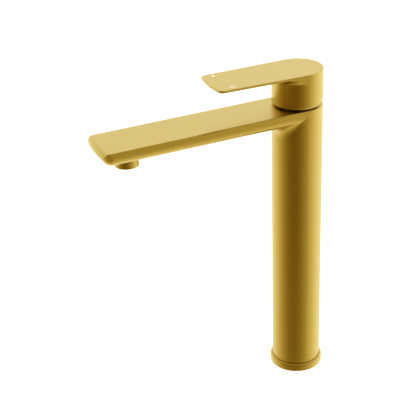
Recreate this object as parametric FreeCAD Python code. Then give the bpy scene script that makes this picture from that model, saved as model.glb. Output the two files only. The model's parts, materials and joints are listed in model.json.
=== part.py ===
import FreeCAD, Part
import math
import os
from FreeCAD import Vector

# Tall single-lever basin mixer, in millimetres.
# The origin is where the column's axis meets the deck, +Z is up, the spout points along -Y
# and +X is the user's right-hand side.  The lever is at rest: closed and in line with the spout.

# ---- valve cartridge, which sets the width of the whole body ----------------------------------
CARTRIDGE_RADIUS = 17.4        # a 35 mm cartridge with its moulding tolerance
CARTRIDGE_BASE_HEIGHT = 6.0
CARTRIDGE_HOUSING_HEIGHT = 20.0
HOUSING_WALL = 2.8
HOUSING_ROOF = 3.0
DISC_THICKNESS = 4.0
DISC_POCKET = 1.0              # depth of the pocket that holds the fixed disc
LAPPED_GAP = 0.02              # water film between the two lapped discs
INLET_OFFSET = 8.4             # hot and cold ports of the seat, either side of the axis
INLET_BORE_RADIUS = 3.0
OUTLET_OFFSET = 1.0            # mixed-water port, in front of the axis
DISC_INLET_X = 5.0             # hot and cold ports of the discs, nearer the middle and to the front
DISC_INLET_Y = -4.0
DISC_PORT_RADIUS = 2.2
MIXING_HOLLOW_RADIUS = 4.1     # in the moving disc: clear of both inlets whenever the lever is down
PORT_SEAL_WIDTH = 1.4
PORT_SEAL_HEIGHT = 1.4
LOCATING_PIN_RADIUS = 1.4
LOCATING_PIN_LENGTH = 2.0
LOCATING_PIN_X = 10.5
LOCATING_PIN_Y = 9.5
TURRET_RADIUS = 11.8
TURRET_FLANGE_WIDTH = 2.0
TURRET_FLANGE_HEIGHT = 2.2
TURRET_RISE = 8.0              # turret top above the body's top face
PIVOT_RISE = 3.0               # lever pivot above the body's top face
PIN_RADIUS = 1.5
STEM_WIDTH = 8.0               # square of the spindle
STEM_ARM_DEPTH = 6.0           # front-to-back size of the arm below the pivot
STEM_TOP_RISE = 25.0           # spindle top above the body's top face
BALL_RADIUS = 2.6
CARRIER_HEIGHT = 7.0
STOP_RING_HEIGHT = 4.0
STOP_RING_WIDTH = 2.2
STOP_LUG_HEIGHT = 2.0
STOP_LUG_HALF_ANGLE = 6.0

# ---- motion -----------------------------------------------------------------------------------
LIFT_ANGLE = 15.0              # lever travel from closed to fully open
SWIVEL_ANGLE = 45.0            # each way from straight ahead

# ---- clearances -------------------------------------------------------------------------------
RUNNING_FIT = 0.05             # radial, shaft in hole
ASSEMBLY_FIT = 0.1             # radial, parts that are pushed together by hand
FREE_GAP = 0.3                 # between pieces that pass each other

# ---- brass valve holder and body shell --------------------------------------------------------
CUP_WALL = 1.5                 # holder wall around the cartridge
WATER_GAP = 1.95               # ring-shaped waterway between holder and shell
BODY_WALL = 3.0                # shell wall around the holder
LOWER_WALL = 4.0               # shell wall of the column below the holder
BODY_HEIGHT = 285.5            # deck to the top face of body and spout
NUT_HEIGHT = 8.0
NUT_RECESS = 0.6               # nut top below the body's top face
NUT_SLOTS = 6
NUT_SLOT_WIDTH = 3.0
NUT_SLOT_DEPTH = 2.0
HOLDER_FLOOR = 12.4            # brass between the cartridge seat and the inlet block
HOLDER_BLOCK_RADIUS = 15.5
HOLDER_BLOCK_HEIGHT = 14.0
LAND_HEIGHT = 4.4              # sealing bands above and below the ring-shaped waterway
INLET_THREAD_RADIUS = 4.5      # M10 x 1, drawn plain at its inner diameter
INLET_THREAD_OFFSET = 7.0      # near enough to the axis for a hose to go straight up through the base
INLET_THREAD_LENGTH = 12.0
O_RING_SECTION = 2.0
O_RING_GROOVE_DEPTH = 1.5
MIXED_SLOT_HEIGHT = 5.0
MIXED_SLOT_WIDTH = 8.0

# ---- base -------------------------------------------------------------------------------------
FLANGE_WIDTH = 2.35            # how far the base ring stands out from the column
FLANGE_HEIGHT = 7.5
FLANGE_FLOOR = 2.5
FLANGE_TOP_ROUND = 1.9
FLANGE_FOOT_CHAMFER = 0.4
GASKET_WIDTH = 2.6
GASKET_HEIGHT = 1.5
GASKET_INSET = 1.6             # from the base ring's edge to the gasket
MOUNT_HEIGHT = 20.0
HOSE_PASSAGE_RADIUS = 12.5
STUD_OFFSET = 16.3
STUD_HOLE_RADIUS = 2.5         # M6, drawn plain at its inner diameter
STUD_HOLE_DEPTH = 15.0

# ---- spout ------------------------------------------------------------------------------------
SPOUT_REACH = 202.5            # column axis to the tip's top edge before it is rounded
SPOUT_THICKNESS = 14.3
SPOUT_DROP = 1.8               # the top falls this much from the body to the tip
SPOUT_TIP_NARROWING = 0.1      # each side, over the whole reach
SPOUT_EDGE_ROUND = 1.0
SPOUT_BELLY_ROUND = 9.0
NECK_FILLET = 15.0             # under the spout where it leaves the column
NECK_REACH = 78.0              # degrees from the front to where that blend has died out
NECK_SLICES = 48
BLEND_SINK = 0.03              # the blend is let into its neighbours this deep, so that they cross
TIP_PLAN_RADIUS = 140.0
TIP_LEAN = 9.0                 # the tip's front leans back this much from top to belly
TIP_CORNER_ROUND = 8.5         # between the front and the sides and belly
NOSE_ROUND = 4.5               # between the top and the front
WATERWAY_ROOF = 2.6
WATERWAY_FLOOR = 2.2
WATERWAY_HALF_WIDTH = 17.5
WATERWAY_TIP_GAP = 18.5        # solid metal left at the tip
NECK_CHANNEL_HALF_WIDTH = 8.0
NECK_CHANNEL_HEIGHT = 8.0
SPOUT_SIDE_OFFSET = 0.02       # spout side inside the column's edge where they meet

# ---- aerator ----------------------------------------------------------------------------------
AERATOR_FROM_TIP = 33.0
AERATOR_COLLAR_RADIUS = 11.4
AERATOR_COLLAR_HEIGHT = 10.2
AERATOR_SPIGOT_RADIUS = 10.2
AERATOR_SPIGOT_HEIGHT = 5.5
AERATOR_SINK = 1.2             # collar's rim goes this far up into the spout's underside
AERATOR_WALL = 1.0
AERATOR_LIP = 0.7
AERATOR_LIP_HEIGHT = 1.0
AERATOR_BOSS_WALL = 2.0
AERATOR_WASHER_HEIGHT = 1.2
AERATOR_CORE_HEIGHT = 9.0
CELL_PITCH = 2.5               # honeycomb spacing
CELL_WALL = 0.45
CELL_RINGS = 3
SCREEN_THICKNESS = 0.4
REGULATOR_RADIUS = 6.5
REGULATOR_HEIGHT = 2.4
REGULATOR_HOLES = 8
REGULATOR_HOLE_RADIUS = 0.8

# ---- handle -----------------------------------------------------------------------------------
HANDLE_GAP = 1.3               # body top to the underside of the hub
HANDLE_TOP = 34.8              # body top to the lever's top face
HUB_WALL = 3.2
HUB_ROOF = 3.2
WEDGE_START = 3.3              # behind the axis, where the tilt clearance starts
HUB_FOOT_ROUND = 2.3
HANDLE_TOP_ROUND = 0.7
LEVER_REACH = 89.6
LEVER_THICKNESS = 2.7
LEVER_TIP_NARROWING = 1.5
LEVER_CORNER_ROUND = 5.5
LEVER_UNDER_ROUND = 1.8        # lower edge of the plate
LEVER_TIP_RADIUS = 95.0
LEVER_FILLET = 7.0
BOSS_RADIUS = 8.0
BOSS_RISE = 11.0               # boss underside above the body's top face
RIB_HALF_WIDTH = 5.0
SCREW_RISE = 18.0              # set-screw axis above the body's top face
SCREW_RADIUS = 2.45
SCREW_LENGTH = 8.0
SCREW_SOCKET_RADIUS = 1.4
SCREW_SOCKET_DEPTH = 2.5
PLUG_RADIUS = 3.0
PLUG_LENGTH = 5.0
HOT_MARK_FROM_TIP = 12.8
COLD_MARK_FROM_TIP = 16.8
MARK_OFFSET = 16.0
HOT_MARK_RADIUS = 1.4
COLD_MARK_RADIUS = 2.5
COLD_MARK_LINE = 0.5
MARK_DEPTH = 0.2

# ---- cover ring -------------------------------------------------------------------------------
COVER_RIM_THICKNESS = 0.5
COVER_SEAT_WIDTH = 1.5         # body rim left outside the cover ring
COVER_DOME_RADIUS = 18.8
COVER_DOME_RISE = 3.6
COVER_SHELL = 0.8
COVER_HOLE_GAP = 1.0           # around the turret

# ---- worked-out radii -------------------------------------------------------------------------
CUP_BORE = CARTRIDGE_RADIUS + ASSEMBLY_FIT
WAIST_RADIUS = CUP_BORE + CUP_WALL
UPPER_BORE = WAIST_RADIUS + WATER_GAP
LAND_RADIUS = UPPER_BORE - RUNNING_FIT
BODY_RADIUS = UPPER_BORE + BODY_WALL
LOWER_BORE = BODY_RADIUS - LOWER_WALL
FLANGE_RADIUS = BODY_RADIUS + FLANGE_WIDTH
MOUNT_RADIUS = LOWER_BORE - RUNNING_FIT
FLANGE_OPENING = MOUNT_RADIUS - FREE_GAP
HOUSING_BORE = CARTRIDGE_RADIUS - HOUSING_WALL
NUT_BORE = TURRET_RADIUS + FREE_GAP + STOP_RING_WIDTH + FREE_GAP

# ---- worked-out heights -----------------------------------------------------------------------
NUT_TOP = BODY_HEIGHT - NUT_RECESS
SHOULDER = NUT_TOP - NUT_HEIGHT
HOUSING_FOOT = SHOULDER - CARTRIDGE_HOUSING_HEIGHT
SEAT = HOUSING_FOOT - CARTRIDGE_BASE_HEIGHT
HOLDER_FOOT = SEAT - HOLDER_FLOOR
BLOCK_FOOT = HOLDER_FOOT - HOLDER_BLOCK_HEIGHT
UPPER_LAND_TOP = SHOULDER - FREE_GAP
UPPER_LAND_FOOT = UPPER_LAND_TOP - LAND_HEIGHT
FIXED_DISC_FOOT = HOUSING_FOOT - DISC_POCKET
MOVING_DISC_FOOT = FIXED_DISC_FOOT + DISC_THICKNESS + LAPPED_GAP
CARRIER_FOOT = MOVING_DISC_FOOT + DISC_THICKNESS
CARRIER_TOP = CARRIER_FOOT + CARRIER_HEIGHT
PIVOT_Z = BODY_HEIGHT + PIVOT_RISE
BALL_Z = CARRIER_TOP - BALL_RADIUS
ARM = PIVOT_Z - BALL_Z
DISC_TRAVEL = ARM * math.radians(LIFT_ANGLE)
MOVING_DISC_RADIUS = HOUSING_BORE - DISC_TRAVEL / 2 - FREE_GAP
HUB_FOOT = BODY_HEIGHT + HANDLE_GAP
LEVER_TOP = BODY_HEIGHT + HANDLE_TOP
HUB_BORE = BODY_RADIUS - HUB_WALL
BELLY_AT_COLUMN = BODY_HEIGHT - SPOUT_THICKNESS
AERATOR_Y = AERATOR_FROM_TIP - SPOUT_REACH


def spout_top(y):
    """Height of the spout's top at a given y: level over the column, then a straight fall."""
    share = max(0.0, (-y - BODY_RADIUS) / (SPOUT_REACH - BODY_RADIUS))
    return BODY_HEIGHT - SPOUT_DROP * share


def spout_half_width(y):
    """Half the spout's width at a given y."""
    return BODY_RADIUS - SPOUT_SIDE_OFFSET - SPOUT_TIP_NARROWING * (-y / SPOUT_REACH)


BELLY_AT_AERATOR = spout_top(AERATOR_Y) - SPOUT_THICKNESS
COLLAR_TOP = BELLY_AT_AERATOR + AERATOR_SINK
COLLAR_FOOT = COLLAR_TOP - AERATOR_COLLAR_HEIGHT - AERATOR_SINK
SPIGOT_TOP = COLLAR_TOP + AERATOR_SPIGOT_HEIGHT
CORE_RADIUS = AERATOR_SPIGOT_RADIUS - AERATOR_WALL - RUNNING_FIT


# ---- small helpers ----------------------------------------------------------------------------
def cylinder(radius, foot, top, x=0.0, y=0.0):
    """Upright cylinder between two heights."""
    return Part.makeCylinder(radius, top - foot, Vector(x, y, foot))


def ring(outer, inner, foot, top, x=0.0, y=0.0):
    """Upright tube between two heights."""
    return cylinder(outer, foot, top, x, y).cut(cylinder(inner, foot - 1, top + 1, x, y))


def box(x0, x1, y0, y1, z0, z1):
    """Box given by its two corners."""
    return Part.makeBox(x1 - x0, y1 - y0, z1 - z0, Vector(x0, y0, z0))


def turned(points):
    """Solid turned about the column's axis from (radius, height) points."""
    corners = [Vector(r, 0, z) for r, z in points]
    outline = Part.makePolygon(corners + corners[:1])
    return Part.Face(outline).revolve(Vector(0, 0, 0), Vector(0, 0, 1), 360)


def o_ring(middle_radius, section_radius, z):
    """Ring of round section, lying flat."""
    return Part.makeTorus(middle_radius, section_radius, Vector(0, 0, z))


def arc_edge(centre, radius, start, end, plane):
    """Arc between two angles in degrees; plane maps (u, v) to a point."""
    points = []
    for share in (0.0, 0.5, 1.0):
        angle = math.radians(start + (end - start) * share)
        points.append(plane(centre[0] + radius * math.cos(angle), centre[1] + radius * math.sin(angle)))
    return Part.Arc(*points).toShape()


def line_edge(a, b):
    """Straight edge."""
    return Part.LineSegment(a, b).toShape()


def one_solid(shape):
    """The single solid in a result that may be wrapped in a compound."""
    merged = shape.removeSplitter()
    return merged.Solids[0] if len(merged.Solids) == 1 else merged


def flare(shaft_radius, radius, underside, top):
    """Ring between a shaft and a ledge above it, with a concave quarter-round face."""
    def plane(r, z):
        return Vector(r, 0, z)
    inner = shaft_radius - 2.0
    outer = shaft_radius + radius
    foot = underside - radius
    edges = [
        arc_edge((outer, foot), radius, 180, 90, plane),
        line_edge(plane(outer, underside), plane(outer, top)),
        line_edge(plane(outer, top), plane(inner, top)),
        line_edge(plane(inner, top), plane(inner, foot)),
        line_edge(plane(inner, foot), plane(shaft_radius, foot)),
    ]
    face = Part.Face(Part.Wire(edges))
    return face.revolve(Vector(0, 0, 0), Vector(0, 0, 1), 360)


# ---- base pieces ------------------------------------------------------------------------------
def make_base_flange():
    """Ring that the column stands in, with a floor under the column and a gasket groove."""
    ring_blank = cylinder(FLANGE_RADIUS, 0, FLANGE_HEIGHT)
    top_edges = [e for e in ring_blank.Edges if e.BoundBox.ZMin > FLANGE_HEIGHT / 2]
    ring_blank = ring_blank.makeFillet(FLANGE_TOP_ROUND, top_edges)
    foot_edges = [e for e in ring_blank.Edges if e.BoundBox.ZMax < FLANGE_HEIGHT / 4]
    ring_blank = ring_blank.makeChamfer(FLANGE_FOOT_CHAMFER, foot_edges)
    socket = cylinder(BODY_RADIUS + ASSEMBLY_FIT, FLANGE_FLOOR, FLANGE_HEIGHT + 1)
    opening = cylinder(FLANGE_OPENING, -1, FLANGE_FLOOR + 1)
    groove_outer = FLANGE_RADIUS - GASKET_INSET
    groove = ring(groove_outer, groove_outer - GASKET_WIDTH, -1, GASKET_HEIGHT)
    return ring_blank.cut(socket).cut(opening).cut(groove)


def make_base_gasket():
    """Flat rubber ring in the groove, flush with the foot."""
    outer = FLANGE_RADIUS - GASKET_INSET - RUNNING_FIT
    return ring(outer, outer - GASKET_WIDTH + 2 * RUNNING_FIT, 0, GASKET_HEIGHT)


def make_mounting_base():
    """Brass plug in the column's foot, down through the base ring, with hose passage and stud holes."""
    top = FLANGE_FLOOR + MOUNT_HEIGHT
    plug = cylinder(MOUNT_RADIUS, FLANGE_FLOOR, top)
    plug = plug.fuse(cylinder(FLANGE_OPENING - ASSEMBLY_FIT, 0, FLANGE_FLOOR + 1))
    plug = plug.cut(cylinder(HOSE_PASSAGE_RADIUS, -1, top + 1))
    for y in (-STUD_OFFSET, STUD_OFFSET):
        plug = plug.cut(cylinder(STUD_HOLE_RADIUS, -1, STUD_HOLE_DEPTH, 0, y))
    return one_solid(plug)


# ---- body -------------------------------------------------------------------------------------
def spout_section(y):
    """Outline across the spout: flat top with sharp edges, upright sides and round lower corners."""
    half = spout_half_width(y)
    top = spout_top(y)
    foot = top - SPOUT_THICKNESS
    belly = foot + SPOUT_BELLY_ROUND
    flat = half - SPOUT_BELLY_ROUND

    def plane(x, z):
        return Vector(x, y, z)
    return Part.Wire([
        line_edge(plane(-half, top), plane(half, top)),
        line_edge(plane(half, top), plane(half, belly)),
        arc_edge((flat, belly), SPOUT_BELLY_ROUND, 0, -90, plane),
        line_edge(plane(flat, foot), plane(-flat, foot)),
        arc_edge((-flat, belly), SPOUT_BELLY_ROUND, -90, -180, plane),
        line_edge(plane(-half, belly), plane(-half, top)),
    ])


def front_radius(z):
    """Distance of the tip's front from its plan centre: it leans back towards the belly."""
    return TIP_PLAN_RADIUS - TIP_LEAN * (spout_top(-SPOUT_REACH) - z) / SPOUT_THICKNESS


def on_edge(edge, test):
    """True if a test holds at both ends and the middle of an edge."""
    first, last = edge.ParameterRange
    return all(test(edge.valueAt(first + (last - first) * share)) for share in (0.0, 0.5, 1.0))


def on_front(p):
    """True for a point on the tip's front."""
    return abs(math.hypot(p.x, p.y + SPOUT_REACH - TIP_PLAN_RADIUS) - front_radius(p.z)) < 1e-3


def on_top(p):
    """True for a point on the spout's top."""
    return abs(p.z - spout_top(p.y)) < 1e-3


def near_top(p):
    """True for a point on the line where the tip's front meets its top."""
    return p.z > spout_top(p.y) - 0.05


def make_spout_beam():
    """Solid outside shape of the spout, from the column's axis to the tip."""
    level = [spout_section(y) for y in (0.0, -BODY_RADIUS)]
    falling = [spout_section(y) for y in (-BODY_RADIUS, -SPOUT_REACH - 2 * TIP_CORNER_ROUND)]
    tip = Part.makeLoft(falling, True, True)
    tip_top = spout_top(-SPOUT_REACH)
    low, high = tip_top - 2 * SPOUT_THICKNESS, tip_top + SPOUT_THICKNESS
    front = Part.makeCone(front_radius(low), front_radius(high), high - low,
                          Vector(0, TIP_PLAN_RADIUS - SPOUT_REACH, low))
    tip = one_solid(tip.common(front))
    rim = [e for e in tip.Edges if on_edge(e, on_front) and not on_edge(e, near_top)]
    tip = tip.makeFillet(TIP_CORNER_ROUND, rim)
    top_chain = [e for e in tip.Edges if on_edge(e, on_top) and e.BoundBox.YMin < -BODY_RADIUS - 0.01]
    tip = tip.makeFillet(SPOUT_EDGE_ROUND, top_chain)
    tip = one_solid(tip.cut(nose_cutter()))
    root = Part.makeLoft(level, True, True)
    edges = [e for e in root.Edges if on_edge(e, on_top) and e.BoundBox.XMax - e.BoundBox.XMin < 1]
    root = root.makeFillet(SPOUT_EDGE_ROUND, edges)
    return one_solid(root.fuse(tip))


def nose_cutter():
    """Metal to take off so that the top rolls over into the leaning front with a large radius."""
    top = spout_top(-SPOUT_REACH)
    lean = math.atan2(TIP_LEAN, SPOUT_THICKNESS)
    centre_z = top - NOSE_ROUND
    centre_r = front_radius(centre_z) - NOSE_ROUND / math.cos(lean)
    lift = 0.1

    def plane(r, z):
        return Vector(0, TIP_PLAN_RADIUS - SPOUT_REACH - r, z)

    def on_nose(angle, radius):
        return plane(centre_r + radius * math.cos(angle), centre_z + radius * math.sin(angle))
    start = math.pi / 2 + 0.2
    end = -lean - 0.2
    middle = (start + end) / 2
    out = NOSE_ROUND + 4.0
    first = on_nose(start, NOSE_ROUND + lift)
    last = on_nose(end, NOSE_ROUND + lift)
    edges = [
        Part.Arc(first, on_nose(middle, NOSE_ROUND), last).toShape(),
        line_edge(last, on_nose(end, out)),
        line_edge(on_nose(end, out), plane(centre_r + 2 * out, centre_z + 2 * out)),
        line_edge(plane(centre_r + 2 * out, centre_z + 2 * out), on_nose(start, out)),
        line_edge(on_nose(start, out), first),
    ]
    face = Part.Face(Part.Wire(edges))
    half_angle = math.degrees(math.atan2(2 * BODY_RADIUS, TIP_PLAN_RADIUS))
    axis_point = Vector(0, TIP_PLAN_RADIUS - SPOUT_REACH, 0)
    face.rotate(axis_point, Vector(0, 0, 1), -half_angle)
    return face.revolve(axis_point, Vector(0, 0, 1), 2 * half_angle)


def neck_slice(share):
    """Cut through the blend under the spout, in the plane of a ball that rolls along the corner,
    touching the column and the spout's underside or its round edge.  The share runs from 0 in the
    middle to 1 at either side, where the ball has shrunk to almost nothing."""
    angle = math.radians(NECK_REACH) * share
    radius = NECK_FILLET * (1 - 0.95 * share ** 4)
    x = (BODY_RADIUS + radius) * math.sin(angle)
    y = -(BODY_RADIUS + radius) * math.cos(angle)
    beyond = max(0.0, abs(x) - spout_half_width(y) + SPOUT_BELLY_ROUND)
    roll = SPOUT_BELLY_ROUND + radius
    drop = math.sqrt(roll ** 2 - beyond ** 2)
    from_column = Vector(math.sin(angle), -math.cos(angle), 0)
    from_spout = Vector(math.copysign(beyond, x) / roll, 0, -drop / roll)
    both = from_column + from_spout
    sink = both * (BLEND_SINK / (1 + from_column.dot(from_spout)))
    centre = Vector(x, y, spout_top(y) - SPOUT_THICKNESS + SPOUT_BELLY_ROUND - drop) - sink
    inwards = both * (-1 / both.Length)
    first = centre - from_column * radius
    last = centre - from_spout * radius
    deep = centre + inwards * (radius + 0.7 * NECK_FILLET)
    blend = Part.Arc(first, centre + inwards * radius, last).toShape()
    return Part.Wire([blend, line_edge(last, deep), line_edge(deep, first)])


def make_neck_blend():
    """Blend between the column and the spout's underside, which dies out towards the sides."""
    shares = [2.0 * index / NECK_SLICES - 1.0 for index in range(NECK_SLICES + 1)]
    return Part.makeLoft([neck_slice(share) for share in shares], True, False)


def make_waterway():
    """Hollow of the spout, with the channel that feeds it from around the valve holder."""
    end = WATERWAY_TIP_GAP - SPOUT_REACH
    start = -BODY_RADIUS - 9.0
    roof_start = spout_top(start) - WATERWAY_ROOF
    roof_end = spout_top(end) - WATERWAY_ROOF
    floor_start = spout_top(start) - SPOUT_THICKNESS + WATERWAY_FLOOR
    floor_end = spout_top(end) - SPOUT_THICKNESS + WATERWAY_FLOOR
    outline = Part.makePolygon([
        Vector(-WATERWAY_HALF_WIDTH, start, floor_start), Vector(-WATERWAY_HALF_WIDTH, start, roof_start),
        Vector(-WATERWAY_HALF_WIDTH, end, roof_end), Vector(-WATERWAY_HALF_WIDTH, end, floor_end),
        Vector(-WATERWAY_HALF_WIDTH, start, floor_start)])
    hollow = Part.Face(outline).extrude(Vector(2 * WATERWAY_HALF_WIDTH, 0, 0))
    hollow = hollow.makeFillet(2.5, [e for e in hollow.Edges if e.Length > SPOUT_REACH / 2])
    inner = -UPPER_BORE + 1.0
    top = UPPER_LAND_FOOT - 0.4
    foot = top - NECK_CHANNEL_HEIGHT
    knee = foot + NECK_CHANNEL_HEIGHT / 2
    profile = [(inner, top), (-BODY_RADIUS - 1.0, top), (start - 2.0, roof_start),
               (start - 2.0, floor_start), (start, floor_start), (-BODY_RADIUS, knee),
               (inner, foot), (inner, top)]
    channel = Part.makePolygon([Vector(-NECK_CHANNEL_HALF_WIDTH, y, z) for y, z in profile])
    return hollow.fuse(Part.Face(channel).extrude(Vector(2 * NECK_CHANNEL_HALF_WIDTH, 0, 0)))


def make_body():
    """Column and spout, one hollow casting."""
    column = cylinder(BODY_RADIUS, FLANGE_FLOOR, BODY_HEIGHT)
    rim = [e for e in column.Edges if e.BoundBox.ZMin > BODY_HEIGHT - 1]
    column = column.makeFillet(SPOUT_EDGE_ROUND, rim)
    outside = one_solid(column.fuse(make_spout_beam()).fuse(make_neck_blend()))
    socket_top = SPIGOT_TOP + AERATOR_WASHER_HEIGHT
    boss = cylinder(AERATOR_COLLAR_RADIUS + AERATOR_BOSS_WALL, BELLY_AT_AERATOR + WATERWAY_FLOOR,
                    socket_top + WATERWAY_FLOOR / 2, 0, AERATOR_Y)
    hollow = make_waterway().cut(boss)
    collar_seat = cylinder(AERATOR_COLLAR_RADIUS + ASSEMBLY_FIT, BELLY_AT_AERATOR - 3, COLLAR_TOP,
                           0, AERATOR_Y)
    spigot_seat = cylinder(AERATOR_SPIGOT_RADIUS + RUNNING_FIT, COLLAR_TOP - 1, socket_top, 0, AERATOR_Y)
    inflow = cylinder(CORE_RADIUS - 1.5, socket_top - 1, socket_top + WATERWAY_FLOOR, 0, AERATOR_Y)
    bores = cylinder(LOWER_BORE, FLANGE_FLOOR - 1, HOLDER_FOOT)
    bores = bores.fuse(cylinder(UPPER_BORE, HOLDER_FOOT, BODY_HEIGHT + 1))
    cover_seat = cylinder(BODY_RADIUS - COVER_SEAT_WIDTH, BODY_HEIGHT - COVER_RIM_THICKNESS, BODY_HEIGHT + 1)
    shell = outside.cut(hollow).cut(bores).cut(cover_seat)
    return one_solid(shell.cut(collar_seat).cut(spigot_seat).cut(inflow))


# ---- valve holder -----------------------------------------------------------------------------
def inlet_points():
    """Plan positions of the hot and the cold port."""
    return [(-INLET_OFFSET, 0.0), (INLET_OFFSET, 0.0)]


def pin_points():
    """Plan positions of the cartridge's locating pins."""
    return [(-LOCATING_PIN_X, LOCATING_PIN_Y), (LOCATING_PIN_X, LOCATING_PIN_Y)]


def land_groove(foot):
    """Ring to cut from a sealing band for its O-ring."""
    middle = foot + LAND_HEIGHT / 2
    half = O_RING_SECTION / 2 + 0.2
    return ring(LAND_RADIUS + 1, LAND_RADIUS - O_RING_GROOVE_DEPTH, middle - half, middle + half)


def make_valve_holder():
    """Brass cup that seats the cartridge; its waist and the shell make the ring-shaped waterway."""
    holder = cylinder(WAIST_RADIUS, HOLDER_FOOT, UPPER_LAND_TOP)
    for foot in (HOLDER_FOOT, UPPER_LAND_FOOT):
        holder = holder.fuse(cylinder(LAND_RADIUS, foot, foot + LAND_HEIGHT))
    holder = holder.fuse(cylinder(HOLDER_BLOCK_RADIUS, BLOCK_FOOT, HOLDER_FOOT))
    holder = holder.cut(cylinder(CUP_BORE, SEAT, UPPER_LAND_TOP + 1))
    for foot in (HOLDER_FOOT, UPPER_LAND_FOOT):
        holder = holder.cut(land_groove(foot))
    thread_top = BLOCK_FOOT + INLET_THREAD_LENGTH
    for x, y in inlet_points():
        thread_x = math.copysign(INLET_THREAD_OFFSET, x)
        holder = holder.cut(cylinder(INLET_THREAD_RADIUS, BLOCK_FOOT - 1, thread_top, thread_x, y))
        holder = holder.cut(cylinder(INLET_BORE_RADIUS, thread_top - 1, SEAT + 1, x, y))
    slot_top = SEAT - 1.2
    slot_foot = slot_top - MIXED_SLOT_HEIGHT
    holder = holder.cut(cylinder(DISC_PORT_RADIUS, slot_foot, SEAT + 1, 0, -OUTLET_OFFSET))
    half = MIXED_SLOT_WIDTH / 2
    holder = holder.cut(box(-half, half, -WAIST_RADIUS - 1, -OUTLET_OFFSET, slot_foot, slot_top))
    for x, y in pin_points():
        pin_foot = SEAT - LOCATING_PIN_LENGTH - FREE_GAP
        holder = holder.cut(cylinder(LOCATING_PIN_RADIUS + ASSEMBLY_FIT, pin_foot, SEAT + 1, x, y))
    return one_solid(holder)


def make_holder_seals():
    """The holder's two O-rings, squeezed between groove and shell."""
    section = O_RING_GROOVE_DEPTH / 2
    middle = LAND_RADIUS - section
    rings = [o_ring(middle, section, foot + LAND_HEIGHT / 2) for foot in (HOLDER_FOOT, UPPER_LAND_FOOT)]
    return Part.makeCompound(rings)


# ---- cartridge --------------------------------------------------------------------------------
def port_list():
    """Plan position and bore radius of the seat's three ports."""
    ports = [(x, y, INLET_BORE_RADIUS) for x, y in inlet_points()]
    return ports + [(0.0, -OUTLET_OFFSET, DISC_PORT_RADIUS)]


def disc_port_points():
    """Plan positions of the three ports through the fixed disc, in the seat's order."""
    return [(-DISC_INLET_X, DISC_INLET_Y), (DISC_INLET_X, DISC_INLET_Y), (0.0, -OUTLET_OFFSET)]


def drilling(start, end, radius):
    """Straight hole through the cartridge base, from a seat port to a disc port."""
    low = Vector(start[0], start[1], SEAT)
    high = Vector(end[0], end[1], FIXED_DISC_FOOT)
    run = high - low
    return Part.makeCylinder(radius, 1.6 * run.Length, low - run * 0.3, run)


def make_cartridge_base():
    """Plastic foot of the cartridge, with seal pockets below and the disc pocket above."""
    base = cylinder(CARTRIDGE_RADIUS, SEAT, HOUSING_FOOT)
    base = base.cut(cylinder(HOUSING_BORE - FREE_GAP, FIXED_DISC_FOOT, HOUSING_FOOT + 1))
    for (x, y, radius), disc_port in zip(port_list(), disc_port_points()):
        base = base.cut(cylinder(radius + PORT_SEAL_WIDTH, SEAT - 1, SEAT + PORT_SEAL_HEIGHT, x, y))
        base = base.cut(drilling((x, y), disc_port, DISC_PORT_RADIUS))
    for x, y in pin_points():
        base = base.fuse(cylinder(LOCATING_PIN_RADIUS, SEAT - LOCATING_PIN_LENGTH, SEAT + 1, x, y))
    return one_solid(base)


def make_port_seals():
    """Rubber ring around each port."""
    seals = []
    for x, y, radius in port_list():
        outer = radius + PORT_SEAL_WIDTH - RUNNING_FIT
        seals.append(ring(outer, radius, SEAT, SEAT + PORT_SEAL_HEIGHT, x, y))
    return Part.makeCompound(seals)


def make_fixed_disc():
    """Lower ceramic disc, with the three ports."""
    disc = cylinder(HOUSING_BORE - 2 * FREE_GAP, FIXED_DISC_FOOT, FIXED_DISC_FOOT + DISC_THICKNESS)
    for x, y in disc_port_points():
        disc = disc.cut(cylinder(DISC_PORT_RADIUS, FIXED_DISC_FOOT - 1, MOVING_DISC_FOOT, x, y))
    return disc


def make_moving_disc():
    """Upper ceramic disc, with the mixing hollow in its lower face; it starts towards the rear."""
    y = DISC_TRAVEL / 2
    disc = cylinder(MOVING_DISC_RADIUS, MOVING_DISC_FOOT, MOVING_DISC_FOOT + DISC_THICKNESS, 0, y)
    hollow = cylinder(MIXING_HOLLOW_RADIUS, MOVING_DISC_FOOT - 1, MOVING_DISC_FOOT + DISC_THICKNESS / 2, 0, y)
    return disc.cut(hollow)


def make_disc_carrier():
    """Plastic driver on the moving disc, with the slot that the spindle's ball pushes in."""
    y = DISC_TRAVEL / 2
    carrier = cylinder(MOVING_DISC_RADIUS - 0.5, CARRIER_FOOT, CARRIER_TOP, 0, y)
    depth = 2 * BALL_RADIUS + FREE_GAP
    reach = BALL_RADIUS + FREE_GAP
    return carrier.cut(box(-reach, reach, -reach, reach, CARRIER_TOP - depth, CARRIER_TOP + 1))


def make_cartridge_housing():
    """Plastic bell over the discs; the turret turns in its roof."""
    housing = cylinder(CARTRIDGE_RADIUS, HOUSING_FOOT, SHOULDER)
    housing = housing.cut(cylinder(HOUSING_BORE, HOUSING_FOOT - 1, SHOULDER - HOUSING_ROOF))
    return housing.cut(cylinder(TURRET_RADIUS + RUNNING_FIT, HOUSING_FOOT, SHOULDER + 1))


def sector(inner, outer, foot, top, start, end):
    """Part of a ring between two angles, in degrees from +X towards +Y."""
    flat = Part.makePolygon([Vector(inner, 0, foot), Vector(outer, 0, foot), Vector(outer, 0, top),
                             Vector(inner, 0, top), Vector(inner, 0, foot)])
    face = Part.Face(flat)
    face.rotate(Vector(0, 0, 0), Vector(0, 0, 1), start)
    return face.revolve(Vector(0, 0, 0), Vector(0, 0, 1), end - start)


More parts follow.
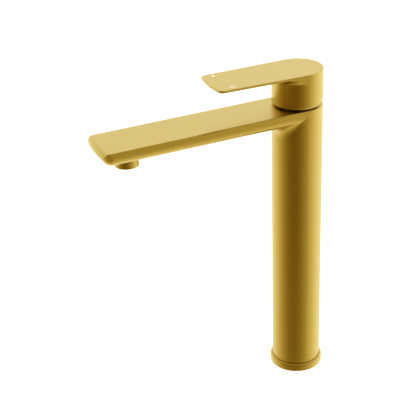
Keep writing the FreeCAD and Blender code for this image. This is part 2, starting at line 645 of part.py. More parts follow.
def make_temperature_stop():
    """Hot-limit ring on the cartridge; the turret's lug meets its ends at full swivel."""
    inner = TURRET_RADIUS + FREE_GAP
    outer = inner + STOP_RING_WIDTH
    top = SHOULDER + STOP_RING_HEIGHT
    stop = ring(outer, inner, SHOULDER, top - STOP_LUG_HEIGHT)
    swing = SWIVEL_ANGLE + STOP_LUG_HALF_ANGLE + 1.0
    rim = sector(inner, outer, top - STOP_LUG_HEIGHT - 0.5, top, 90 + swing, 450 - swing)
    return one_solid(stop.fuse(rim))


def make_stem_turret():
    """Turning guide of the spindle: a flanged drum with a slot to tilt in and the pin's bores."""
    flange_top = SHOULDER - HOUSING_ROOF - FREE_GAP / 3
    flange_foot = flange_top - TURRET_FLANGE_HEIGHT
    turret = cylinder(TURRET_RADIUS, flange_foot, BODY_HEIGHT + TURRET_RISE)
    turret = turret.fuse(cylinder(TURRET_RADIUS + TURRET_FLANGE_WIDTH, flange_foot, flange_top))
    lug_foot = SHOULDER + STOP_RING_HEIGHT - STOP_LUG_HEIGHT + FREE_GAP
    lug_outer = TURRET_RADIUS + FREE_GAP + STOP_RING_WIDTH
    turret = turret.fuse(sector(TURRET_RADIUS - 1, lug_outer, lug_foot, lug_foot + STOP_LUG_HEIGHT,
                                90 - STOP_LUG_HALF_ANGLE, 90 + STOP_LUG_HALF_ANGLE))
    lean = math.radians(LIFT_ANGLE)
    front = (PIVOT_Z - flange_foot) * math.sin(lean) + STEM_ARM_DEPTH / 2 + FREE_GAP
    rear = (BODY_HEIGHT + TURRET_RISE - PIVOT_Z) * math.sin(lean) + STEM_WIDTH / 2 + FREE_GAP
    half = STEM_WIDTH / 2 + RUNNING_FIT
    turret = turret.cut(box(-half, half, -front, rear, flange_foot - 1, BODY_HEIGHT + TURRET_RISE + 1))
    return one_solid(turret.cut(pin_shape(PIN_RADIUS + RUNNING_FIT / 2, TURRET_RADIUS + 2)))


def pin_shape(radius, half_length):
    """Cylinder along X through the pivot."""
    return Part.makeCylinder(radius, 2 * half_length, Vector(-half_length, 0, PIVOT_Z), Vector(1, 0, 0))


def make_pivot_pin():
    """Steel pin that the spindle tilts on."""
    return pin_shape(PIN_RADIUS, TURRET_RADIUS - 0.8)


def make_stem():
    """Spindle: square head for the handle, an arm and the ball that moves the disc."""
    half = STEM_WIDTH / 2
    arm_half = STEM_ARM_DEPTH / 2
    square_foot = PIVOT_Z + half
    stem = box(-half, half, -half, half, square_foot, BODY_HEIGHT + STEM_TOP_RISE)
    arm_foot = CARRIER_TOP + 2.0
    stem = stem.fuse(box(-half, half, -arm_half, arm_half, arm_foot, square_foot + 1))
    stem = stem.fuse(cylinder(BALL_RADIUS * 0.7, BALL_Z, arm_foot + 1))
    stem = stem.fuse(Part.makeSphere(BALL_RADIUS, Vector(0, 0, BALL_Z)))
    return one_solid(stem.cut(pin_shape(PIN_RADIUS + RUNNING_FIT, STEM_WIDTH)))


def make_retaining_nut():
    """Threaded ring that holds the cartridge down, with spanner slots in its top."""
    nut = ring(UPPER_BORE - RUNNING_FIT, NUT_BORE, SHOULDER, NUT_TOP)
    for index in range(NUT_SLOTS):
        slot = box(NUT_BORE - 1, NUT_BORE + 3.0, -NUT_SLOT_WIDTH / 2, NUT_SLOT_WIDTH / 2,
                   NUT_TOP - NUT_SLOT_DEPTH, NUT_TOP + 1)
        slot.rotate(Vector(0, 0, 0), Vector(0, 0, 1), 360.0 * index / NUT_SLOTS)
        nut = nut.cut(slot)
    return nut


def make_cover_ring():
    """Thin domed ring that hides the nut, flush in the body's top face."""
    rim = BODY_RADIUS - COVER_SEAT_WIDTH - RUNNING_FIT
    hole = TURRET_RADIUS + COVER_HOLE_GAP
    foot = BODY_HEIGHT - COVER_RIM_THICKNESS
    dome_top = BODY_HEIGHT + COVER_DOME_RISE
    slope = COVER_DOME_RADIUS - 3.0
    return turned([
        (rim, foot), (rim, BODY_HEIGHT), (COVER_DOME_RADIUS, BODY_HEIGHT), (slope, dome_top),
        (hole, dome_top), (hole, dome_top - COVER_SHELL), (slope - COVER_SHELL / 2, dome_top - COVER_SHELL),
        (COVER_DOME_RADIUS - COVER_SHELL, foot)])


# ---- handle -----------------------------------------------------------------------------------
def lever_outline():
    """Plan of the lever: half-round at the rear, tapering sides, rounded corners, bowed tip."""
    half_tip = BODY_RADIUS - LEVER_TIP_NARROWING
    side_y = -LEVER_REACH
    slope = (BODY_RADIUS - half_tip) / LEVER_REACH
    centre_y = LEVER_TIP_RADIUS - LEVER_REACH
    corner_y = centre_y - math.sqrt(LEVER_TIP_RADIUS ** 2 - half_tip ** 2)

    def plane(x, y):
        return Vector(x, y, 0)
    side_x = BODY_RADIUS - slope * -corner_y
    right = line_edge(plane(BODY_RADIUS, 0), plane(side_x, corner_y))
    tip = Part.Arc(plane(side_x, corner_y), plane(0, side_y), plane(-side_x, corner_y)).toShape()
    left = line_edge(plane(-side_x, corner_y), plane(-BODY_RADIUS, 0))
    rear = Part.Arc(plane(-BODY_RADIUS, 0), plane(0, BODY_RADIUS), plane(BODY_RADIUS, 0)).toShape()
    return Part.Face(Part.Wire([right, tip, left, rear]))


def make_handle_outside():
    """Hub and lever plate in one piece, before it is hollowed."""
    plate_foot = LEVER_TOP - LEVER_THICKNESS
    plate = lever_outline().extrude(Vector(0, 0, HANDLE_TOP))
    plate.translate(Vector(0, 0, plate_foot - HANDLE_TOP + LEVER_THICKNESS))
    near_tip = -LEVER_REACH / 2
    corners = [e for e in plate.Edges if e.BoundBox.ZMax - e.BoundBox.ZMin > 1 and e.BoundBox.YMax < near_tip]
    plate = plate.makeFillet(LEVER_CORNER_ROUND, corners)
    slab = plate.common(box(-60, 60, -LEVER_REACH - 1, BODY_RADIUS + 1, plate_foot, LEVER_TOP))
    under = [e for e in slab.Edges if e.BoundBox.ZMax < plate_foot + 0.1 and e.BoundBox.YMin < -1]
    slab = slab.makeFillet(LEVER_UNDER_ROUND, under)
    neck = flare(BODY_RADIUS, LEVER_FILLET, plate_foot, plate_foot + 1).common(plate)
    hub = cylinder(BODY_RADIUS, HUB_FOOT, LEVER_TOP)
    foot = [e for e in hub.Edges if e.BoundBox.ZMax < HUB_FOOT + 1]
    hub = hub.makeFillet(HUB_FOOT_ROUND, foot)
    outside = one_solid(hub.fuse(slab).fuse(neck))
    rim = [e for e in outside.Edges if e.BoundBox.ZMin > LEVER_TOP - 0.01]
    return outside.makeFillet(HANDLE_TOP_ROUND, rim)


def wedge_under_hub():
    """Clearance behind the axis, so that the hub can tilt back without touching the body."""
    rise = (BODY_RADIUS + 5 - WEDGE_START) * math.tan(math.radians(LIFT_ANGLE))
    side = -BODY_RADIUS - 5
    back = BODY_RADIUS + 5
    profile = [(WEDGE_START, HUB_FOOT), (back, HUB_FOOT + rise), (back, HUB_FOOT - 5),
               (WEDGE_START, HUB_FOOT - 5), (WEDGE_START, HUB_FOOT)]
    outline = Part.makePolygon([Vector(side, y, z) for y, z in profile])
    return Part.Face(outline).extrude(Vector(-2 * side, 0, 0))


def along_y(radius, start, end):
    """Cylinder along Y at the set screw's height."""
    return Part.makeCylinder(radius, end - start, Vector(0, start, BODY_HEIGHT + SCREW_RISE), Vector(0, 1, 0))


def hot_mark_shape(depth):
    """Round dot on the user's left."""
    return cylinder(HOT_MARK_RADIUS, LEVER_TOP - depth, LEVER_TOP,
                    -MARK_OFFSET, HOT_MARK_FROM_TIP - LEVER_REACH)


def cold_mark_shape(depth):
    """Open ring on the user's right."""
    return ring(COLD_MARK_RADIUS, COLD_MARK_RADIUS - COLD_MARK_LINE, LEVER_TOP - depth, LEVER_TOP,
                MARK_OFFSET, COLD_MARK_FROM_TIP - LEVER_REACH)


def make_handle():
    """Hub and lever: hollow hub, central boss with the square socket, rib for the set screw."""
    outside = make_handle_outside().cut(wedge_under_hub())
    roof = LEVER_TOP - HUB_ROOF
    boss = cylinder(BOSS_RADIUS, BODY_HEIGHT + BOSS_RISE, roof + 1)
    rib_foot = BODY_HEIGHT + SCREW_RISE - RIB_HALF_WIDTH
    rib = box(-RIB_HALF_WIDTH, RIB_HALF_WIDTH, 0, HUB_BORE + 1, rib_foot, roof + 1)
    hollow = cylinder(HUB_BORE, HUB_FOOT - 1, roof).cut(boss).cut(rib)
    half = STEM_WIDTH / 2 + RUNNING_FIT
    socket_top = BODY_HEIGHT + STEM_TOP_RISE + FREE_GAP
    socket = box(-half, half, -half, half, BODY_HEIGHT + BOSS_RISE - 1, socket_top)
    screw_bore = along_y(SCREW_RADIUS + RUNNING_FIT, 0, BODY_RADIUS + 1)
    plug_bore = along_y(PLUG_RADIUS + RUNNING_FIT, BODY_RADIUS - PLUG_LENGTH, BODY_RADIUS + 1)
    handle = outside.cut(hollow).cut(socket).cut(screw_bore).cut(plug_bore)
    handle = handle.cut(hot_mark_shape(MARK_DEPTH)).cut(cold_mark_shape(MARK_DEPTH))
    return one_solid(handle)


def make_set_screw():
    """Grub screw that clamps the handle on the spindle, with a six-sided key socket."""
    start = STEM_WIDTH / 2
    screw = along_y(SCREW_RADIUS, start, start + SCREW_LENGTH)
    corners = []
    for index in range(7):
        angle = math.radians(60.0 * index)
        x = SCREW_SOCKET_RADIUS * math.cos(angle)
        z = BODY_HEIGHT + SCREW_RISE + SCREW_SOCKET_RADIUS * math.sin(angle)
        corners.append(Vector(x, start + SCREW_LENGTH - SCREW_SOCKET_DEPTH, z))
    key = Part.Face(Part.makePolygon(corners)).extrude(Vector(0, SCREW_SOCKET_DEPTH + 1, 0))
    return screw.cut(key)


def make_screw_plug():
    """Plug over the set screw, its face following the hub."""
    plug = along_y(PLUG_RADIUS, BODY_RADIUS - PLUG_LENGTH + FREE_GAP, BODY_RADIUS + 1)
    return plug.common(cylinder(BODY_RADIUS - 0.15, BODY_HEIGHT, LEVER_TOP))


# ---- aerator ----------------------------------------------------------------------------------
def make_aerator_housing():
    """Collar under the spout with a threaded spigot above, drawn plain, and a lip at its mouth."""
    collar = cylinder(AERATOR_COLLAR_RADIUS, COLLAR_FOOT, COLLAR_TOP, 0, AERATOR_Y)
    foot = [e for e in collar.Edges if e.BoundBox.ZMax < COLLAR_FOOT + 0.1]
    collar = collar.makeFillet(0.6, foot)
    housing = collar.fuse(cylinder(AERATOR_SPIGOT_RADIUS, COLLAR_TOP - 1, SPIGOT_TOP, 0, AERATOR_Y))
    inner = AERATOR_SPIGOT_RADIUS - AERATOR_WALL
    bore = cylinder(inner, COLLAR_FOOT + AERATOR_LIP_HEIGHT, SPIGOT_TOP + 1, 0, AERATOR_Y)
    mouth = cylinder(inner - AERATOR_LIP, COLLAR_FOOT - 1, SPIGOT_TOP, 0, AERATOR_Y)
    return one_solid(housing.cut(bore).cut(mouth))


def make_aerator_washer():
    """Rubber washer between the housing and the socket's roof."""
    outer = AERATOR_SPIGOT_RADIUS - RUNNING_FIT
    return ring(outer, CORE_RADIUS - 1.5, SPIGOT_TOP, SPIGOT_TOP + AERATOR_WASHER_HEIGHT, 0, AERATOR_Y)


def hexagon_prism(x, y, radius, foot, top):
    """Six-sided prism standing on a corner-to-corner radius."""
    corners = []
    for index in range(7):
        angle = math.radians(60.0 * index + 30.0)
        corners.append(Vector(x + radius * math.cos(angle), y + radius * math.sin(angle), foot))
    return Part.Face(Part.makePolygon(corners)).extrude(Vector(0, 0, top - foot))


def make_aerator_core():
    """Flow straightener: a drum whose floor is a honeycomb."""
    foot = COLLAR_FOOT + AERATOR_LIP_HEIGHT
    core = cylinder(CORE_RADIUS, foot, foot + AERATOR_CORE_HEIGHT, 0, AERATOR_Y)
    core = core.cut(cylinder(CORE_RADIUS - 1.0, foot + 4.0, foot + AERATOR_CORE_HEIGHT + 1, 0, AERATOR_Y))
    cell = (CELL_PITCH - CELL_WALL) / math.sqrt(3)
    cells = []
    for i in range(-CELL_RINGS, CELL_RINGS + 1):
        for j in range(-CELL_RINGS, CELL_RINGS + 1):
            if abs(i + j) > CELL_RINGS:
                continue
            x = CELL_PITCH * (i + j / 2.0)
            y = AERATOR_Y + CELL_PITCH * j * math.sqrt(3) / 2
            cells.append(hexagon_prism(x, y, cell, foot - 1, foot + 5.0))
    return core.cut(Part.makeCompound(cells))


def make_flow_regulator():
    """Small disc with a ring of holes, on a step inside the core's drum."""
    foot = COLLAR_FOOT + AERATOR_LIP_HEIGHT + 4.0
    disc = cylinder(CORE_RADIUS - 1.0 - RUNNING_FIT, foot, foot + 1.0, 0, AERATOR_Y)
    disc = disc.fuse(cylinder(REGULATOR_RADIUS, foot, foot + REGULATOR_HEIGHT, 0, AERATOR_Y))
    for index in range(REGULATOR_HOLES):
        angle = 2 * math.pi * index / REGULATOR_HOLES
        x = (REGULATOR_RADIUS - 2.0) * math.cos(angle)
        y = AERATOR_Y + (REGULATOR_RADIUS - 2.0) * math.sin(angle)
        disc = disc.cut(cylinder(REGULATOR_HOLE_RADIUS, foot - 1, foot + REGULATOR_HEIGHT + 1, x, y))
    return one_solid(disc)


def make_aerator_screen():
    """Fine screen on top of the core."""
    foot = COLLAR_FOOT + AERATOR_LIP_HEIGHT + AERATOR_CORE_HEIGHT
    return cylinder(CORE_RADIUS, foot, foot + SCREEN_THICKNESS, 0, AERATOR_Y)


NODES = {
    "base_flange": make_base_flange,
    "base_gasket": make_base_gasket,
    "mounting_base": make_mounting_base,
    "body": make_body,
    "valve_holder": make_valve_holder,
    "holder_seals": make_holder_seals,
    "cartridge_base": make_cartridge_base,
    "port_seals": make_port_seals,
    "fixed_disc": make_fixed_disc,
    "moving_disc": make_moving_disc,
    "disc_carrier": make_disc_carrier,
    "cartridge_housing": make_cartridge_housing,
    "temperature_stop": make_temperature_stop,
    "stem_turret": make_stem_turret,
    "pivot_pin": make_pivot_pin,
    "stem": make_stem,
    "retaining_nut": make_retaining_nut,
    "cover_ring": make_cover_ring,
    "handle": make_handle,
    "set_screw": make_set_screw,
    "screw_plug": make_screw_plug,
    "hot_mark": lambda: hot_mark_shape(MARK_DEPTH),
    "cold_mark": lambda: cold_mark_shape(MARK_DEPTH),
    "aerator_housing": make_aerator_housing,
    "aerator_washer": make_aerator_washer,
    "aerator_core": make_aerator_core,
    "flow_regulator": make_flow_regulator,
    "aerator_screen": make_aerator_screen,
}

os.makedirs("parts", exist_ok=True)
for node, make in NODES.items():
    shape = make()
    shape.exportStep("parts/" + node + ".step")
    print(node, "solids", len(shape.Solids), "valid", shape.isValid(), "volume", round(shape.Volume, 1))
print("disc travel", round(DISC_TRAVEL, 3), "arm", round(ARM, 3), "pivot z", PIVOT_Z)
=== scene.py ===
# %% [markdown]
# # A tall basin mixer in satin gold
#
# The real object is a brass casting: a round column with a long flat spout, and a flat lever on
# a short round hub above it. All of it is coated with the same satin gold. The shapes come from
# the CAD model, so this lesson is about what is left: a viewpoint, light that a metal can
# reflect, and one finish for each stuff that the pieces are made of.
#
# The frame could be modelled again here, but it would then no longer fit the joints. It is loaded as it is.

# %% Load the frame
import json
import math

import bpy
import numpy as np
from mathutils import Matrix, Vector


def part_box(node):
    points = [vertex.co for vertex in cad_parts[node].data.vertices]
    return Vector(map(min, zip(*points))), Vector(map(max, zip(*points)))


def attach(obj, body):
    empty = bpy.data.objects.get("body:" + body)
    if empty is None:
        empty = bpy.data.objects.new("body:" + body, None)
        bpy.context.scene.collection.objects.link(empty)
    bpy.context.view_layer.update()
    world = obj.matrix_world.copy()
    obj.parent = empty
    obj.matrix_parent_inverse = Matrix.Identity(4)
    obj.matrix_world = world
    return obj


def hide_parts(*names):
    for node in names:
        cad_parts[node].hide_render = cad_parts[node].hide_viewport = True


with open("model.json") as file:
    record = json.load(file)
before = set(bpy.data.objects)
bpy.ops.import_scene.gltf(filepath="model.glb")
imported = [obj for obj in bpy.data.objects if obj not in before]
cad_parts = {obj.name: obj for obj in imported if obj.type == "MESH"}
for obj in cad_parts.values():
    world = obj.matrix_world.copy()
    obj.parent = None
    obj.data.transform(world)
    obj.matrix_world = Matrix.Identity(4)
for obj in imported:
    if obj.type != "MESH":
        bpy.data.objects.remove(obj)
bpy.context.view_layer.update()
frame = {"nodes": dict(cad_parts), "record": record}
scene = bpy.context.scene
MM = 0.001

# %% [markdown]
# ## The camera
#
# A product view is usually taken with a long lens, because a short one makes near parts look
# swollen. This one stands a little over a metre away, looks down by about 28 degrees and is
# tipped by two. The lens could be aimed with a constraint, but a direction, a tip and a
# distance say the same thing in numbers that can be read.

# %% Place the camera
CAMERA_PLACE = Vector((0.8358, -0.4472, 0.6728))
CAMERA_TURN = math.radians(67.056)      # from +Y towards -X
CAMERA_DROP = math.radians(27.624)      # below the horizon
CAMERA_TIP = math.radians(-2.081)       # about the line of sight
CAMERA_LENS = 95.0


def camera_axes(turn, drop, tip):
    """Right, up and backward of the camera: the level view turned to its direction, then right and
    up turned about the line of sight by the tip."""
    ahead = Vector((-math.sin(turn) * math.cos(drop), math.cos(turn) * math.cos(drop), -math.sin(drop)))
    level = Vector((math.cos(turn), math.sin(turn), 0.0))
    above = level.cross(ahead)
    right = math.cos(tip) * level + math.sin(tip) * above
    up = math.cos(tip) * above - math.sin(tip) * level
    return right, up, -ahead


right, up, back = camera_axes(CAMERA_TURN, CAMERA_DROP, CAMERA_TIP)
camera_data = bpy.data.cameras.new("camera")
camera_data.lens = CAMERA_LENS
camera_data.clip_start = 0.05
camera = bpy.data.objects.new("camera", camera_data)
scene.collection.objects.link(camera)
camera.matrix_world = Matrix.Translation(CAMERA_PLACE) @ Matrix((right, up, back)).transposed().to_4x4()
scene.camera = camera
print("camera looks along", [round(v, 3) for v in -back])

# %% [markdown]
# ## Colours and nodes
#
# Colours are picked on a screen, where they are stored in the sRGB curve, but light adds up in linear
# numbers. One function does the change. A second one adds a node with its settings and links in one call, so
# that each material reads as a short list.

# %% Two helpers


def linear(hex_colour):
    """sRGB hex to linear RGB: each channel / 255, then ((c + 0.055) / 1.055) ** 2.4, or c / 12.92
    where c is small."""
    channels = [int(hex_colour[i:i + 2], 16) / 255 for i in (1, 3, 5)]
    return [c / 12.92 if c <= 0.04045 else ((c + 0.055) / 1.055) ** 2.4 for c in channels]


def add(tree, kind, inputs=None, links=None, **settings):
    """Adds a node, sets its properties and input values, and links inputs to (node, output)."""
    node = tree.nodes.new("ShaderNode" + kind)
    for name, value in settings.items():
        setattr(node, name, value)
    for name, value in (inputs or {}).items():
        node.inputs[name].default_value = value
    for name, (source, output) in (links or {}).items():
        tree.links.new(source.outputs[output], node.inputs[name])
    return node


print("middle grey as linear light", [round(c, 3) for c in linear("#808080")])

# %% [markdown]
# ## Light for a metal
#
# A metal has no colour of its own in shadow: it shows what stands around it. A studio sets up
# large white screens behind and above the tap, and leaves the side where the camera stands
# dark, which draws the long dark line down the middle of the column. Area lamps could do this,
# but their edges would show as hard lines. Here the surroundings are one smooth function of
# direction, from warm dark at the camera's side to white opposite and a little darker overhead.
# The camera itself is shown plain white behind the tap.

# %% The surroundings
DARK_SIDE = math.radians(-38.0)         # from +X, towards +Y when positive
DARKEST, BRIGHTEST = 0.11, 1.2
CEILING = 0.76                          # brightness overhead, as a share of the horizon's
CEILING_FROM, CEILING_TO = 0.05, 0.5    # upward part of the direction, where the dimming runs
GREEN_POWER, BLUE_POWER = 1.3, 2.6
RISE_POWER = 1.15
STOPS = 9


def surround_colour(brightness):
    """Warm when dark: red is the brightness, green is brightness ** 1.3 and blue ** 2.6."""
    return (brightness, brightness ** GREEN_POWER, brightness ** BLUE_POWER, 1.0)


def screen_brightness(place):
    """Share of the brightest light, at a place from 0 at the dark side to 1 opposite: the darkest
    plus the difference times sin(place * 90 degrees) ** 1.15."""
    rise = math.sin(math.pi / 2 * place) ** RISE_POWER
    return (DARKEST + (BRIGHTEST - DARKEST) * rise) / BRIGHTEST


world = bpy.data.worlds.new("studio")
scene.world = world
world.use_nodes = True
sky = world.node_tree
sky.nodes.clear()
where = add(sky, "TexCoord")
dark_direction = (math.cos(DARK_SIDE), math.sin(DARK_SIDE), 0.0)
facing = add(sky, "VectorMath", {1: dark_direction}, {0: (where, "Generated")}, operation="DOT_PRODUCT")
share = add(sky, "MapRange", {"From Min": 1.0, "From Max": -1.0}, {"Value": (facing, "Value")})
ramp = add(sky, "ValToRGB", links={"Fac": (share, "Result")})
ramp.color_ramp.interpolation = "B_SPLINE"
for index in range(STOPS):
    place = index / (STOPS - 1)
    if 0 < index < STOPS - 1:
        stop = ramp.color_ramp.elements.new(place)
    else:
        stop = ramp.color_ramp.elements[0 if index == 0 else -1]
    stop.color = surround_colour(screen_brightness(place))
height = add(sky, "SeparateXYZ", links={"Vector": (where, "Generated")})
dimming = {"From Min": CEILING_FROM, "From Max": CEILING_TO}
dimming.update({"To Min": BRIGHTEST, "To Max": BRIGHTEST * CEILING})
ceiling = add(sky, "MapRange", dimming, {"Value": (height, "Z")})
mirrored = add(sky, "Background", {}, {"Color": (ramp, "Color"), "Strength": (ceiling, "Result")})
plain = add(sky, "Background", {"Color": (1.0, 1.0, 1.0, 1.0), "Strength": 1.0})
path = add(sky, "LightPath")
choice = {0: (path, "Is Camera Ray"), 1: (mirrored, "Background"), 2: (plain, "Background")}
both = add(sky, "MixShader", links=choice)
add(sky, "OutputWorld", links={"Surface": (both, "Shader")})
scene.view_settings.view_transform = "Standard"
print("surroundings from", [round(c, 3) for c in surround_colour(screen_brightness(0.0))[:3]])

# %% [markdown]
# ## Floor and lamps
#
# The tap stands on a plain pale floor. A curved backdrop is the usual studio choice, but with
# white surroundings a large flat sheet gives the same clean picture. The floor is left out of
# reflections, so that the metal shows the surroundings only, and so are the two soft lamps,
# which light the floor, the plastics and the rubber.

# %% Floor and lamps
FLOOR_HALF = 3.0
FLOOR_DROP = 0.0002


def grid_mesh(name, points, rows, columns, wrap_rows=False, wrap_columns=False):
    """Mesh of quads over a rows x columns grid of points: corner (i, j) joins (i + 1, j),
    (i + 1, j + 1) and (i, j + 1); a wrapped direction also joins its last line to its first."""
    row = np.arange(rows if wrap_rows else rows - 1)[:, None]
    column = np.arange(columns if wrap_columns else columns - 1)[None, :]
    next_row, next_column = (row + 1) % rows, (column + 1) % columns
    faces = np.stack([row * columns + column, next_row * columns + column,
                      next_row * columns + next_column, row * columns + next_column], axis=-1)
    mesh = bpy.data.meshes.new(name)
    mesh.from_pydata(points.reshape(-1, 3).tolist(), [], faces.reshape(-1, 4).tolist())
    mesh.update()
    return mesh


def show(name, mesh, *materials):
    """New object for a mesh, in the scene, with its materials."""
    piece = bpy.data.objects.new(name, mesh)
    for material in materials:
        mesh.materials.append(material)
    scene.collection.objects.link(piece)
    return piece


def new_material(name):
    """Empty node material: returns it with its tree, its shader and the object coordinates."""
    material = bpy.data.materials.new(name)
    material.use_nodes = True
    tree = material.node_tree
    tree.nodes.clear()
    shader = add(tree, "BsdfPrincipled")
    add(tree, "OutputMaterial", links={"Surface": (shader, "BSDF")})
    return material, tree, shader, add(tree, "TexCoord")


def floor_paper():
    """Matt white paper that glows a little, so that shadows on it stay faint."""
    material, tree, shader, _ = new_material("floor_paper")
    shader.inputs["Base Color"].default_value = (*linear("#f4f4f2"), 1.0)
    shader.inputs["Roughness"].default_value = 0.9
    shader.inputs["Emission Color"].default_value = (1.0, 1.0, 1.0, 1.0)
    shader.inputs["Emission Strength"].default_value = 0.62
    return material


side = np.linspace(-FLOOR_HALF, FLOOR_HALF, 5)
sheet_x, sheet_y = np.meshgrid(side, side, indexing="ij")
floor_points = np.stack([sheet_x, sheet_y, np.full_like(sheet_x, -FLOOR_DROP)], axis=-1)
floor = show("floor", grid_mesh("floor", floor_points, 5, 5), floor_paper())
floor.visible_glossy = False


def soft_lamp(name, place, target, size, power):
    """Square area lamp that points at the target and is not seen in reflections."""
    data = bpy.data.lights.new(name, "AREA")
    data.size = size
    data.energy = power
    lamp = bpy.data.objects.new(name, data)
    scene.collection.objects.link(lamp)
    lamp.location = place
    lamp.rotation_mode = "QUATERNION"
    lamp.rotation_quaternion = (Vector(target) - Vector(place)).to_track_quat("-Z", "Y")
    lamp.visible_glossy = False
    return lamp


soft_lamp("overhead", (0.2, -0.1, 1.8), (0.0, -0.05, 0.0), 1.6, 22.0)
soft_lamp("front", (1.1, -1.2, 0.9), (0.0, -0.05, 0.15), 1.0, 8.0)
print("floor half-width", FLOOR_HALF, "m")

# %% [markdown]
# ## Satin gold
#
# The tap is cast brass, ground and polished, blasted with fine glass beads and then coated in a
# vacuum chamber with a gold-coloured nitride a few thousandths of a millimetre thick. The beads
# leave dimples of a few hundredths of a millimetre, so reflections are broad and soft and no
# grain shows. A brushed finish would show lines along the spout. Here the dimples are a very
# shallow bump, and a slow change in roughness stands for the hand that held each piece.

# %% Satin gold
GOLD = "#dfc773"
DIMPLE = 0.35 * MM                      # real ones are finer: drawn as coarse as they need to show
HANDLING = 18 * MM


def satin_gold(name, roughness):
    """Metal of one colour; roughness is a base value plus a slow noise, the bump is a fine noise."""
    material, tree, shader, coordinates = new_material(name)
    slow = add(tree, "TexNoise", {"Scale": 1 / HANDLING, "Detail": 2.0}, {"Vector": (coordinates, "Object")})
    limits = {"To Min": roughness - 0.03, "To Max": roughness + 0.03}
    spread = add(tree, "MapRange", limits, {"Value": (slow, "Fac")})
    fine = add(tree, "TexNoise", {"Scale": 1 / DIMPLE, "Detail": 1.0}, {"Vector": (coordinates, "Object")})
    bump = add(tree, "Bump", {"Strength": 0.05, "Distance": 0.01 * MM}, {"Height": (fine, "Fac")})
    shader.inputs["Base Color"].default_value = (*linear(GOLD), 1.0)
    shader.inputs["Metallic"].default_value = 1.0
    tree.links.new(spread.outputs["Result"], shader.inputs["Roughness"])
    tree.links.new(bump.outputs["Normal"], shader.inputs["Normal"])
    return material


gold = satin_gold("satin_gold", 0.30)
print("dimples drawn at", DIMPLE / MM, "mm")

# %% [markdown]
# ## Machined brass and steel
#
# The base plug, the valve holder and the ring nut are turned on a lathe from bar and left bare.
# A cutting tool leaves a fine spiral that catches the light as rings about the axis. A circular
# wave about the column's axis draws them, with a pitch of half a millimetre so that they can be
# seen. The steel pieces are turned in the same way.

# %% Machined metals
TOOL_PITCH = 0.5 * MM


def turned_metal(name, colour, roughness):
    """Metal with rings about the Z axis: a saw wave of the distance from the axis and the height."""
    material, tree, shader, coordinates = new_material(name)
    parts = add(tree, "SeparateXYZ", links={"Vector": (coordinates, "Object")})
    flat = add(tree, "CombineXYZ", links={"X": (parts, "X"), "Y": (parts, "Y")})
    radius = add(tree, "VectorMath", links={0: (flat, "Vector")}, operation="LENGTH")
    travel = add(tree, "Math", links={0: (radius, "Value"), 1: (parts, "Z")}, operation="ADD")
    turns = add(tree, "Math", {1: 1 / TOOL_PITCH}, {0: (travel, "Value")}, operation="MULTIPLY")
    ridge = add(tree, "Math", {1: 1.0}, {0: (turns, "Value")}, operation="PINGPONG")
    stain = add(tree, "TexNoise", {"Scale": 90.0, "Detail": 4.0}, {"Vector": (coordinates, "Object")})
    limits = {"To Min": roughness - 0.06, "To Max": roughness + 0.08}
    spread = add(tree, "MapRange", limits, {"Value": (stain, "Fac")})
    bump = add(tree, "Bump", {"Strength": 0.25, "Distance": 0.02 * MM}, {"Height": (ridge, "Value")})
    shader.inputs["Base Color"].default_value = (*linear(colour), 1.0)
    shader.inputs["Metallic"].default_value = 1.0
    tree.links.new(spread.outputs["Result"], shader.inputs["Roughness"])
    tree.links.new(bump.outputs["Normal"], shader.inputs["Normal"])
    return material


brass = turned_metal("turned_brass", "#d9b878", 0.28)
steel = turned_metal("turned_steel", "#c9c8c4", 0.25)
print("tool pitch", TOOL_PITCH / MM, "mm")

# %% [markdown]
# ## Acetal, rubber and alumina
#
# Cartridge parts are moulded in acetal, a hard waxy plastic with a silky skin. Its seals are
# EPDM rubber, dull and slightly grainy from the mould. The two valve discs are alumina, lapped
# flat to a mirror, so they are nearly as smooth as glass but still white. All three are
# dielectrics: a colour, an index of refraction, a roughness and a small bump.

# %% Plastics, rubber and ceramic
DRIFT = 12 * MM                         # the colour changes slowly, over about this length


def moulded(name, colours, ior, roughness, grain, depth):
    """Dielectric whose colour drifts between two close ones, with a grain of the given size."""
    material, tree, shader, coordinates = new_material(name)
    drift = add(tree, "TexNoise", {"Scale": 1 / DRIFT, "Detail": 3.0}, {"Vector": (coordinates, "Object")})
    ends = {6: (*linear(colours[0]), 1.0), 7: (*linear(colours[1]), 1.0)}
    blend = add(tree, "Mix", ends, data_type="RGBA")
    tree.links.new(drift.outputs["Fac"], blend.inputs[0])
    grains = add(tree, "TexNoise", {"Scale": 1 / grain, "Detail": 2.0}, {"Vector": (coordinates, "Object")})
    bump = add(tree, "Bump", {"Strength": 0.3, "Distance": depth}, {"Height": (grains, "Fac")})
    limits = {"To Min": roughness - 0.04, "To Max": roughness + 0.04}
    spread = add(tree, "MapRange", limits, {"Value": (grains, "Fac")})
    shader.inputs["IOR"].default_value = ior
    tree.links.new(blend.outputs[2], shader.inputs["Base Color"])
    tree.links.new(spread.outputs["Result"], shader.inputs["Roughness"])
    tree.links.new(bump.outputs["Normal"], shader.inputs["Normal"])
    return material


white_acetal = moulded("white_acetal", ("#eeeee9", "#e6e6e0"), 1.48, 0.38, 0.4 * MM, 0.01 * MM)
grey_acetal = moulded("grey_acetal", ("#5d6063", "#565a5e"), 1.48, 0.40, 0.4 * MM, 0.01 * MM)
red_acetal = moulded("red_acetal", ("#b3261e", "#a8231c"), 1.48, 0.36, 0.4 * MM, 0.01 * MM)
rubber = moulded("epdm_rubber", ("#1d1d1e", "#232324"), 1.52, 0.72, 0.3 * MM, 0.03 * MM)
alumina = moulded("lapped_alumina", ("#f1efe6", "#ebe8dd"), 1.77, 0.14, 0.2 * MM, 0.002 * MM)
print("moulded materials", [m.name for m in (white_acetal, grey_acetal, red_acetal, rubber, alumina)])

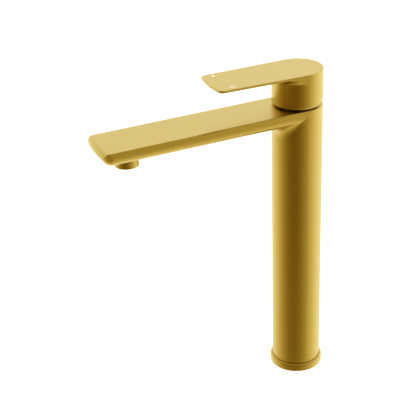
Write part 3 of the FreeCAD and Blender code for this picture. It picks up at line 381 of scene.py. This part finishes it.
# %% [markdown]
# ## Filled marks
#
# The hot dot and the cold ring are engraved two tenths of a millimetre deep and filled with a
# pale enamel that is rubbed flush. A decal would need an image, and the marks are pieces of the
# model already, so they only get their own finish: a smooth, nearly white dielectric.

# %% Filled marks
pale_enamel = moulded("pale_enamel", ("#fbf7ea", "#f7f2e2"), 1.50, 0.30, 0.2 * MM, 0.002 * MM)
print("marks filled with", pale_enamel.name)

# %% [markdown]
# ## A finish for every piece
#
# The record says which stuff each CAD piece is made of. A loop over those slots gives every
# piece its finish, so that a new piece in the model can't be left plain without a word.

# %% Give each CAD piece its finish
FINISHES = {
    "gold_satin": gold,
    "brass_raw": brass,
    "steel": steel,
    "plastic_white": white_acetal,
    "plastic_grey": grey_acetal,
    "plastic_red": red_acetal,
    "rubber_black": rubber,
    "ceramic_white": alumina,
    "mark_light": pale_enamel,
}
for subpart in frame["record"]["subparts"]:
    piece = frame["nodes"][subpart["node"]]
    piece.data.materials.clear()
    piece.data.materials.append(FINISHES[subpart["material_slot"]])

# %% [markdown]
# ## The woven screen
#
# The aerator's top is a disc of stainless wire cloth that keeps grit out. The CAD model has a
# plain thin disc there. A bump could suggest the weave, but light has to pass between the wires,
# so they are made: each wire is a thin tube that goes over and under the ones it crosses.

# %% Weave the screen
WIRE_PITCH = 0.8 * MM
WIRE_RADIUS = 0.09 * MM
WIRE_SIDES = 6
STEPS_PER_CROSSING = 4


def woven_disc(centre, radius, height):
    """Two sets of wires on a grid inside a circle.  Along a wire its height is
    height + r * cos(pi * s / pitch + parity * pi), and a small circle is carried along it."""
    count = int((radius - WIRE_RADIUS) / WIRE_PITCH)
    around = np.linspace(0, 2 * np.pi, WIRE_SIDES, endpoint=False)
    points, faces, start = [], [], 0
    for across in (0, 1):
        for line in range(-count, count + 1):
            offset = line * WIRE_PITCH
            half = math.sqrt((radius - WIRE_RADIUS) ** 2 - offset ** 2)
            steps = max(4, int(2 * half / WIRE_PITCH * STEPS_PER_CROSSING))
            s = np.linspace(-half, half, steps)
            wave = np.cos(np.pi * s / WIRE_PITCH + np.pi * (line + across))
            middle = height + WIRE_RADIUS * 1.05 * wave
            ring_z = middle[:, None] + WIRE_RADIUS * np.sin(around)[None, :]
            ring_t = offset + WIRE_RADIUS * np.cos(around)[None, :] + 0 * ring_z
            ring_s = s[:, None] + 0 * ring_z
            x, y = (ring_s, ring_t) if across == 0 else (ring_t, ring_s)
            points.append(np.stack([centre[0] + x, centre[1] + y, ring_z], axis=-1).reshape(-1, 3))
            i = np.arange(steps - 1)[:, None] * WIRE_SIDES
            j = np.arange(WIRE_SIDES)[None, :]
            k = (j + 1) % WIRE_SIDES
            quads = np.stack([i + j, i + k, i + WIRE_SIDES + k, i + WIRE_SIDES + j], axis=-1).reshape(-1, 4)
            if across == 0:
                quads = quads[:, ::-1]
            faces += (quads + start).tolist()
            first = [start + int(v) for v in range(WIRE_SIDES)]
            last = [start + (steps - 1) * WIRE_SIDES + int(v) for v in range(WIRE_SIDES)]
            faces += [first if across == 0 else first[::-1], last[::-1] if across == 0 else last]
            start += steps * WIRE_SIDES
    mesh = bpy.data.meshes.new("screen_weave")
    mesh.from_pydata(np.concatenate(points).tolist(), [], faces)
    mesh.update()
    return mesh


screen_low, screen_high = (np.array(corner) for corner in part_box("aerator_screen"))
screen_middle = (screen_low + screen_high) / 2
screen_radius = (screen_high[0] - screen_low[0]) / 2
weave = show("screen_weave", woven_disc(screen_middle, screen_radius, screen_middle[2]), steel)
weave.data.shade_smooth()
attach(weave, "faucet_body")
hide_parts("aerator_screen")
print("wires", len(weave.data.polygons), "faces; pitch", WIRE_PITCH / MM, "mm")
